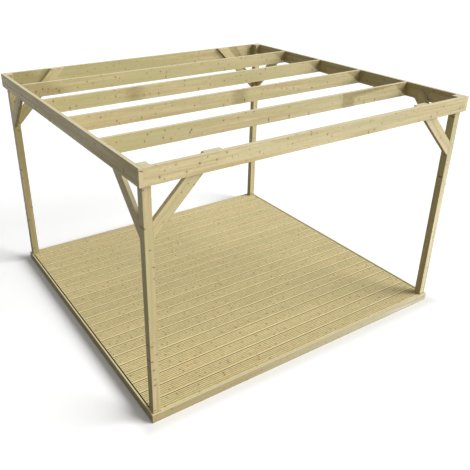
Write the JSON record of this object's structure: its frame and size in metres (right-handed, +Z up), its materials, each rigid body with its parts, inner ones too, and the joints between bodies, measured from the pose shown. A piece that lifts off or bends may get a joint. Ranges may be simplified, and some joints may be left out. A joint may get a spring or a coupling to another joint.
{
  "type": "timber pergola with deck",
  "caption": "Open timber pergola: square corner posts carry a beam ring with rafters and knee braces over a low deck of grooved boards.",
  "frame": {"origin": "middle of the ground plan, at ground level", "axes": "+X to the right seen from the front, along the deck boards; +Y from front to back; +Z up"},
  "size_m": [3.6, 3.43, 2.386],
  "materials": {
    "timber": "planed pressure-treated pine",
    "deck": "grooved pressure-treated pine",
    "joist": "sawn pressure-treated pine"
  },
  "bodies": {
    "root": {"front_left_post": "timber", "front_right_post": "timber", "back_left_post": "timber", "back_right_post": "timber", "front_beam": "timber", "back_beam": "timber", "left_beam": "timber", "right_beam": "timber", "rafter_1": "timber", "rafter_2": "timber", "rafter_3": "timber", "rafter_4": "timber", "front_brace_left": "timber", "front_brace_right": "timber", "back_brace_left": "timber", "back_brace_right": "timber", "left_brace_front": "timber", "left_brace_back": "timber", "right_brace_front": "timber", "right_brace_back": "timber", "front_fascia": "timber", "back_fascia": "timber", "left_fascia": "timber", "right_fascia": "timber", "front_rim_joist": "joist", "back_rim_joist": "joist", "left_rim_joist": "joist", "right_rim_joist": "joist", "joist_1": "joist", "joist_2": "joist", "joist_3": "joist", "joist_4": "joist", "joist_5": "joist", "joist_6": "joist", "joist_7": "joist", "front_deck_board": "deck", "deck_boards": "deck", "back_deck_board": "deck"}
  },
  "joints": []
}
